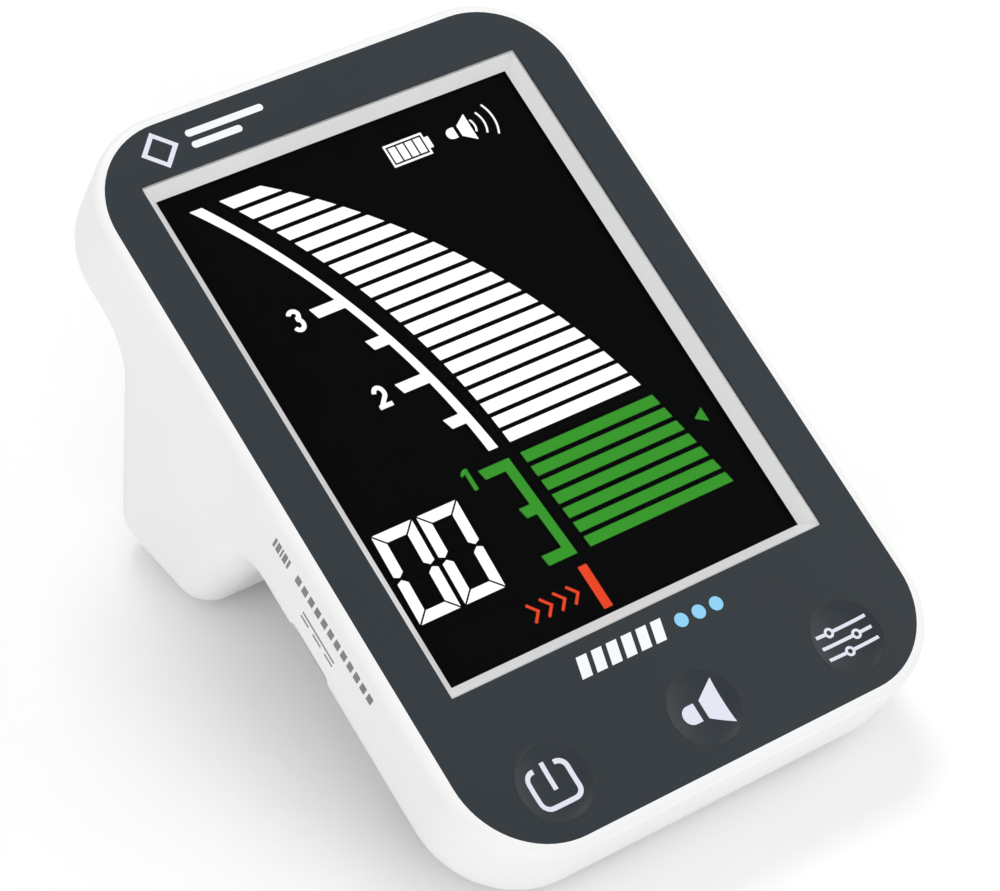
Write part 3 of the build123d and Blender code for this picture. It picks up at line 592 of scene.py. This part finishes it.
def printed(name, outlines, material):
    """Ink on the overlay."""
    return inlay(name, outlines, material, -SINK, INK)


MARK = (-28.7, 58.9)
MARK_REACH = 3.3               # middle to each corner of the diamond
MARK_LINE = 1.05
MARK_BARS = (pill(-23.6, 59.3, -9.6, 60.5), pill(-23.6, 57.2, -14.6, 58.4))
printed("plain_mark", [ring(MARK, MARK_REACH, MARK_LINE, corners=4)], print_pale)
printed("plain_mark_bars", MARK_BARS, print_white)

STRIPES = 6
STRIPE_START = -14.9
STRIPE_PITCH = 2.75
STRIPE_WIDTH = 1.9
STRIPE_LEVELS = (-42.7, -39.3)                         # foot and top
STRIPE_LEAN = 0.9
foot, top = STRIPE_LEVELS
stripe_starts = [STRIPE_START + STRIPE_PITCH * i for i in range(STRIPES)]
stripe_outlines = [
    box_outline(start, foot, start + STRIPE_WIDTH, top, STRIPE_LEAN) for start in stripe_starts
]
printed("plain_stripes", stripe_outlines, print_white)

DOT_PLACES = (4.6, 7.9, 11.2)
DOT_LEVEL = -41.0
DOT_RADIUS = 1.15
dot_outlines = [polygon((x, DOT_LEVEL), DOT_RADIUS, corners=24) for x in DOT_PLACES]
printed("plain_dots", dot_outlines, print_blue)


# ---- Keys: the overlay's skin runs on into each dish -----------------------------------
DISH_DEPTH = 0.7
DISH_POWER = 3.4               # 2 is an even bowl; more is flatter in the middle and steeper at the rim
SKIN = 0.3
SKIN_LIP = 0.2                 # skin over the edge of its hole
SKIN_BEVEL = 0.06              # from the dish's edge to the top of the lip
SKIN_SHRINK = 0.05             # underside past the dish's edge, clear of the hole's wall
SIGN_EDGE = 0.7                # longest edge in a sign, so that it follows the dish
RING_STEPS = 14
TURN_STEPS = 96


def dish_level(distance, radius):
    """Level of the dished face at a distance from the key's middle."""
    return -DISH_DEPTH * (1 - min(distance / radius, 1.0) ** DISH_POWER)


def turned(section, x, y):
    """Mesh of a section, as distances from an upright axis and levels, turned round that axis."""
    bm = bmesh.new()
    angles = [math.tau * i / TURN_STEPS for i in range(TURN_STEPS)]
    loops = []
    for distance, level in section:
        circle = [(x + distance * math.cos(a), y + distance * math.sin(a), level) for a in angles]
        loops.append([bm.verts.new(on_panel(*point)) for point in circle])
    for near, far in zip(loops, loops[1:]):
        for i in range(TURN_STEPS):
            bm.faces.new((near[i - 1], near[i], far[i], far[i - 1]))
    for loop, level in ((loops[0], -DISH_DEPTH), (loops[-1], -DISH_DEPTH - SKIN)):
        pole = bm.verts.new(on_panel(x, y, level))
        for i in range(TURN_STEPS):
            bm.faces.new((loop[i - 1], loop[i], pole))
    return bm


def key_skin(name, x, y, radius):
    """Round skin that follows the dish, closed underneath, and laps over the hole in the overlay."""
    distances = [radius * i / RING_STEPS for i in range(1, RING_STEPS + 1)]
    section = [(distance, dish_level(distance, radius)) for distance in distances]
    section += [(radius + SKIN_BEVEL, INK), (radius + SKIN_LIP, INK)]
    section += [(radius + SKIN_LIP, 0.0), (radius + SKIN_SHRINK, -SKIN)]
    section += [(distance, dish_level(distance, radius) - SKIN) for distance in reversed(distances)]
    piece = link_mesh(name, turned(section, x, y), overlay_dark)
    for face in piece.data.polygons:
        face.use_smooth = True
    return piece


def key_sign(name, outlines, x, y, radius):
    """Printed sign that lies on the dished face."""
    bm = inlay_mesh(outlines, -SINK, INK, longest=SIGN_EDGE)
    for vert in bm.verts:
        level = dish_level(math.hypot(vert.co.x, vert.co.y), radius)
        vert.co = on_panel(x + vert.co.x, y + vert.co.y, level + vert.co.z)
    return link_mesh(name, bm, print_pale)


POWER_WIDTH = 7.7
POWER_HEIGHT = 6.9
POWER_CORNER = 1.45
POWER_PEN = 0.78
POWER_DROP = 0.2               # ring below the key's middle
POWER_GAP = 1.8                # middle to the ends of the open ring
POWER_STEM = (-0.9, 3.6)       # lower and upper end
across = (POWER_WIDTH - POWER_PEN) / 2 - POWER_CORNER
upright = (POWER_HEIGHT - POWER_PEN) / 2 - POWER_CORNER
power_path = [(-POWER_GAP, upright + POWER_CORNER)]
for side_x, side_y, start in ((-1, 1, 90), (-1, -1, 180), (1, -1, 270), (1, 1, 0)):
    power_path += arc((side_x * across, side_y * upright), POWER_CORNER, start, start + 90, 6)
power_path.append((POWER_GAP, upright + POWER_CORNER))
power_path = [(x, y - POWER_DROP) for x, y in power_path]
power_stem = box_outline(-POWER_PEN / 2, POWER_STEM[0], POWER_PEN / 2, POWER_STEM[1])
power_outlines = [stroke(power_path, POWER_PEN), power_stem]

SLIDER_PEN = 0.55
SLIDER_REACH = 4.8             # middle to the ends of each line
KNOB_RADIUS = 0.85
KNOB_PEN = 0.45
KNOB_OVERLAP = 0.2             # lines into the knob's ring
SLIDER_KNOBS = {1.95: -2.1, 0.0: 2.0, -1.95: -0.6}      # level: knob's place
slider_outlines = []
for level, knob in SLIDER_KNOBS.items():
    low, high = level - SLIDER_PEN / 2, level + SLIDER_PEN / 2
    clear = KNOB_RADIUS - KNOB_OVERLAP
    slider_outlines.append(box_outline(-SLIDER_REACH, low, knob - clear, high))
    slider_outlines.append(box_outline(knob + clear, low, SLIDER_REACH, high))
    slider_outlines.append(ring((knob, level), KNOB_RADIUS, KNOB_PEN))

KEY_SIGNS = {
    "power": power_outlines,
    "volume": sound_outlines(-3.75, 0.0, 7.7),
    "set": slider_outlines,
}
for key, sign in KEY_SIGNS.items():
    cap = f"{key}_key_cap"
    x, y = panel_place(cap)
    low, high = extent(cap, ACROSS)
    cap_radius = (high - low) / 2 / MM
    skin = key_skin(f"{key}_key_skin", x, y, cap_radius)
    mark = key_sign(f"{key}_key_sign", sign, x, y, cap_radius)
    for piece in (skin, mark):
        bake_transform(piece)
    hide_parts(cap)

# ---- Plain grey marks on the left wall -------------------------------------------------
LEFT_WALL = extent("rear_shell", ACROSS)[0] / MM


def on_left_wall(along, depth, rise):
    """Point on the left wall: along the slope, behind the panel's face, and out of the wall."""
    place = ORIGIN + (UPWARD * along - OUT * depth) * MM
    return Vector(((LEFT_WALL - rise) * MM, place.y, place.z))


def wall_print(name, outlines):
    """Ink on the left wall."""
    return inlay(name, outlines, print_grey, -SINK, INK, place=on_left_wall)


MARK_DEPTH = 3.7
MARK_HEIGHT = 1.9
DASHES = 12
DASH_PITCH = 1.86
DASH_LENGTH = 1.25
DASH_START = -9.6              # along the slope
dash_ends = [DASH_START - DASH_PITCH * i for i in range(DASHES)]
dash_outlines = [
    box_outline(end - DASH_LENGTH, MARK_DEPTH, end, MARK_DEPTH + MARK_HEIGHT) for end in dash_ends
]
wall_print("plain_dashes", dash_outlines)

STUB_START = -3.2              # along the slope
STUB_WIDTHS = (0.5, 0.9, 0.35, 0.9, 0.5)
STUB_GAP = 0.3
STUB_EXTRA = 0.2               # taller than the dashes, at each end
stub_low, stub_high = MARK_DEPTH - STUB_EXTRA, MARK_DEPTH + MARK_HEIGHT + STUB_EXTRA
stub_outlines = []
stub_end = STUB_START
for width in STUB_WIDTHS:
    stub_outlines.append(box_outline(stub_end - width, stub_low, stub_end, stub_high))
    stub_end -= width + STUB_GAP
wall_print("plain_blocks", stub_outlines)

CURRENT_START = -22.6          # along the slope
CURRENT_LENGTH = 9.0
CURRENT_LINE = 0.45
CURRENT_DEPTHS = (8.4, 9.5)    # the whole line, and the broken line behind it
CURRENT_DASHES = 3
CURRENT_DASH = 2.2
CURRENT_PITCH = 3.4
line_depth, dash_depth = CURRENT_DEPTHS
current_outlines = [
    box_outline(CURRENT_START, line_depth, CURRENT_START + CURRENT_LENGTH, line_depth + CURRENT_LINE)
]
for i in range(CURRENT_DASHES):
    start = CURRENT_START + CURRENT_PITCH * i
    current_outlines.append(box_outline(start, dash_depth, start + CURRENT_DASH, dash_depth + CURRENT_LINE))
wall_print("direct_current_sign", current_outlines)

# ---- Floor, light and camera -----------------------------------------------------------
FLOOR_SIDE = 3.0
FLOOR_DROP = 0.00005           # keeps the pads' undersides clear of the floor
floor_mesh = bmesh.new()
bmesh.ops.create_grid(floor_mesh, x_segments=8, y_segments=8, size=FLOOR_SIDE / 2)
floor_pale = surface("floor_pale", (0.96, 0.96, 0.96), 0.8, 0.01, 0.00001, 0.005, 0.1)
floor = link_mesh("floor", floor_mesh, floor_pale)
floor.location.z = -FLOOR_DROP

LIGHT_AIM = Vector((0, 0, 0.03))


def area_light(name, place, size, power):
    """Soft square light that looks at the middle of the unit."""
    data = bpy.data.lights.new(name, "AREA")
    data.size = size
    data.energy = power
    light = bpy.data.objects.new(name, data)
    light.location = place
    light.rotation_euler = (LIGHT_AIM - Vector(place)).to_track_quat("-Z", "Y").to_euler()
    bpy.context.scene.collection.objects.link(light)


area_light("key_light", (0.24, 0.70, 1.15), 0.5, 4.6)
area_light("left_light", (-1.30, 0.10, 0.70), 1.0, 1.8)
area_light("front_light", (-0.50, -1.30, 0.50), 1.2, 6.0)
area_light("right_light", (1.20, -0.30, 0.80), 1.0, 3)

world = bpy.data.worlds.new("studio")
world.use_nodes = True
world.node_tree.nodes["Background"].inputs["Color"].default_value = (1, 1, 1, 1)
world.node_tree.nodes["Background"].inputs["Strength"].default_value = 0.70
bpy.context.scene.world = world
bpy.context.scene.view_settings.view_transform = "Standard"

CAMERA_AIM = on_panel(-5.85, -5.06)
CAMERA_AZIMUTH = math.radians(-40.45)
CAMERA_ELEVATION = math.radians(42.12)
CAMERA_ROLL = math.radians(6.15)
CAMERA_DISTANCE = 0.5534
CAMERA_LENS = 133.8            # millimetres, for a sensor as wide as SENSOR_WIDTH
SENSOR_WIDTH = 36.0
camera_data = bpy.data.cameras.new("camera")
camera_data.lens = CAMERA_LENS
camera_data.sensor_width = SENSOR_WIDTH
camera_data.clip_end = 20.0
camera = bpy.data.objects.new("camera", camera_data)
bpy.context.scene.collection.objects.link(camera)
level_distance = math.cos(CAMERA_ELEVATION)
to_camera = Vector(
    (
        math.sin(CAMERA_AZIMUTH) * level_distance,
        -math.cos(CAMERA_AZIMUTH) * level_distance,
        math.sin(CAMERA_ELEVATION),
    )
)
turn = (-to_camera).to_track_quat("-Z", "Y").to_matrix() @ Matrix.Rotation(CAMERA_ROLL, 3, "Z")
camera.matrix_world = Matrix.Translation(CAMERA_AIM + to_camera * CAMERA_DISTANCE) @ turn.to_4x4()
bpy.context.scene.camera = camera
